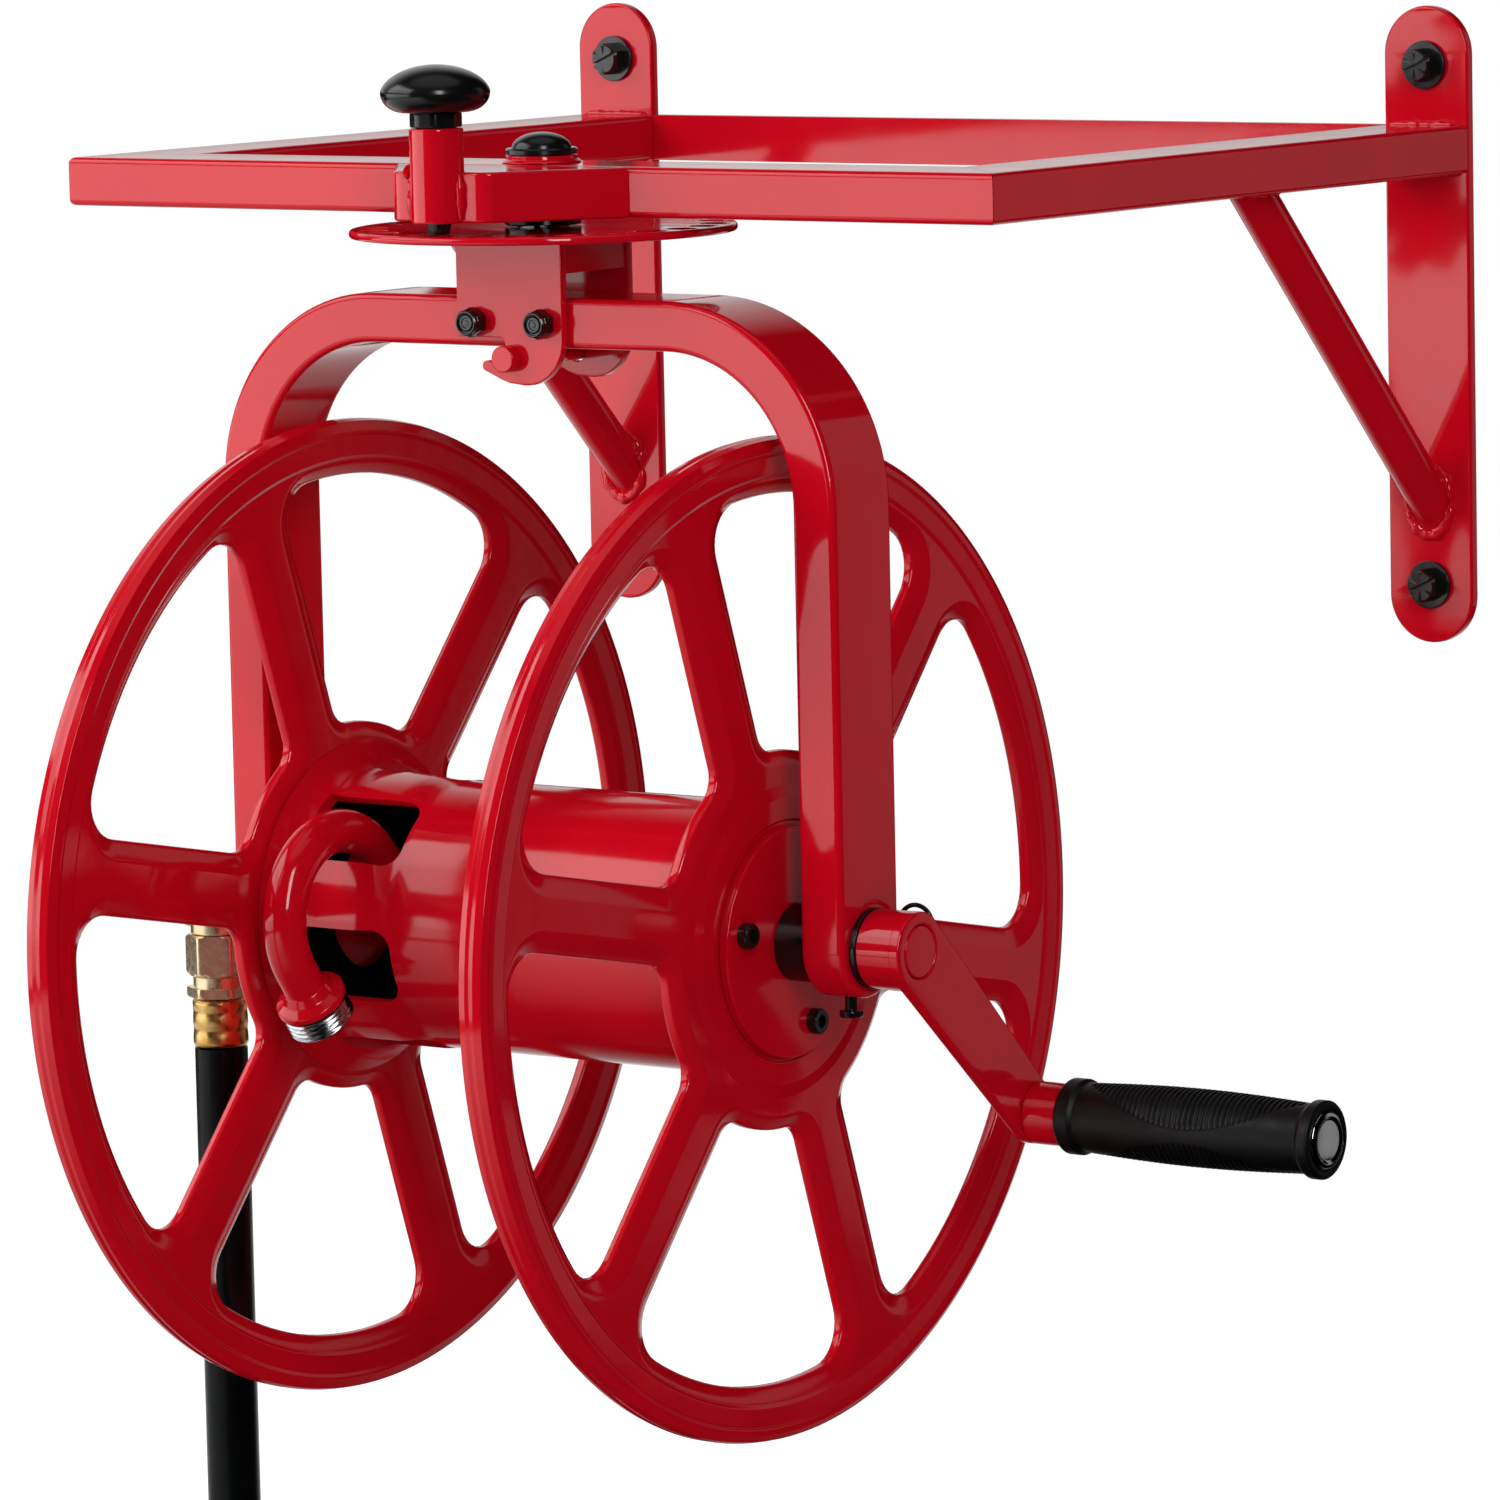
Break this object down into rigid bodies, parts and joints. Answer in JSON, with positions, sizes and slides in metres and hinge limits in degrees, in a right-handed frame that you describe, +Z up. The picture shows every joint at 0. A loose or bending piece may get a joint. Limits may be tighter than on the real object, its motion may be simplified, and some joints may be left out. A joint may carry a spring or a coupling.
{
  "type": "wall-mounted hose reel",
  "caption": "Wall-mounted hose reel: spoked wheels on a windowed drum in a swivelling yoke under a tube frame, with latch, crank, brass inlet and lead-in hose.",
  "frame": {"origin": "middle of the back rail's rear face, on the wall", "axes": "+Y into the wall, +X to the right for someone facing the wall, +Z up"},
  "size_m": [0.518, 0.5135, 0.8611],
  "materials": {
    "red_paint": "gloss powder coat",
    "black_plastic": "satin",
    "black_steel": "black oxide",
    "bright_steel": "satin",
    "chrome": "polished",
    "brass": "satin",
    "grip_rubber": "matt",
    "hose_rubber": "satin"
  },
  "bodies": {
    "wall_frame": {"left_wall_plate": "red_paint", "right_wall_plate": "red_paint", "left_upper_lag_bolt": "black_steel", "left_lower_lag_bolt": "black_steel", "right_upper_lag_bolt": "black_steel", "right_lower_lag_bolt": "black_steel", "front_rail": "red_paint", "left_arm_tube": "red_paint", "right_arm_tube": "red_paint", "back_rail": "red_paint", "left_brace": "red_paint", "right_brace": "red_paint", "latch_bracket": "red_paint", "latch_barrel": "red_paint", "latch_bushing": "black_plastic", "latch_spring": "bright_steel", "swivel_sleeve": "red_paint", "swivel_bushing": "black_plastic", "swivel_cap": "black_plastic", "thrust_washer": "black_plastic"},
    "latch": {"latch_plunger": "black_steel", "latch_knob": "black_plastic"},
    "swivel_yoke": {"swivel_shaft": "bright_steel", "index_disc": "red_paint", "clevis_front_plate": "red_paint", "clevis_rear_plate": "red_paint", "clevis_left_bolt": "black_steel", "clevis_right_bolt": "black_steel", "clevis_left_lock_nut": "black_steel", "clevis_right_lock_nut": "black_steel", "hook_pin": "red_paint", "yoke": "red_paint", "left_axle_bushing": "black_plastic", "right_axle_bushing": "black_plastic", "left_axle_washer": "black_plastic", "right_axle_washer": "black_plastic", "drag_screw": "black_steel", "inlet_elbow": "brass", "coupling_nut": "brass", "hose_fitting": "brass", "hose_ferrule": "brass", "lead_in_hose": "hose_rubber", "lead_in_hose_coil": "hose_rubber", "hose_tie": "grip_rubber", "hose_end_coupling": "brass"},
    "reel": {"left_wheel": "red_paint", "right_wheel": "red_paint", "left_hub_plate": "red_paint", "right_hub_plate": "red_paint", "drum": "red_paint", "right_axle": "red_paint", "inlet_pipe": "red_paint", "outlet_bend": "red_paint", "outlet_thread": "bright_steel", "crank_arm": "red_paint", "crank_pin": "black_steel", "handle_collar": "red_paint", "handle_spindle": "bright_steel"},
    "crank_handle": {"crank_grip": "grip_rubber", "grip_end_cap": "chrome"}
  },
  "joints": [
    {"name": "latch_pull", "type": "slide", "parent": "wall_frame", "child": "latch", "axis": [0, 0, 1], "range_m": [-0.002, 0.006], "stiffness_N_per_m": 300, "springref_m": -0.006, "deforming": ["latch_spring"]},
    {"name": "reel_swivel", "type": "hinge", "parent": "wall_frame", "child": "swivel_yoke", "pos_m": [0, -0.32295, 0], "axis": [0, 0, 1], "range_deg": [-90, 90]},
    {"name": "reel_spin", "type": "hinge", "parent": "swivel_yoke", "child": "reel", "pos_m": [0, -0.32295, -0.2821], "axis": [1, 0, 0], "continuous": true},
    {"name": "grip_spin", "type": "hinge", "parent": "reel", "child": "crank_handle", "pos_m": [0, -0.24653, -0.35411], "axis": [1, 0, 0], "continuous": true}
  ]
}
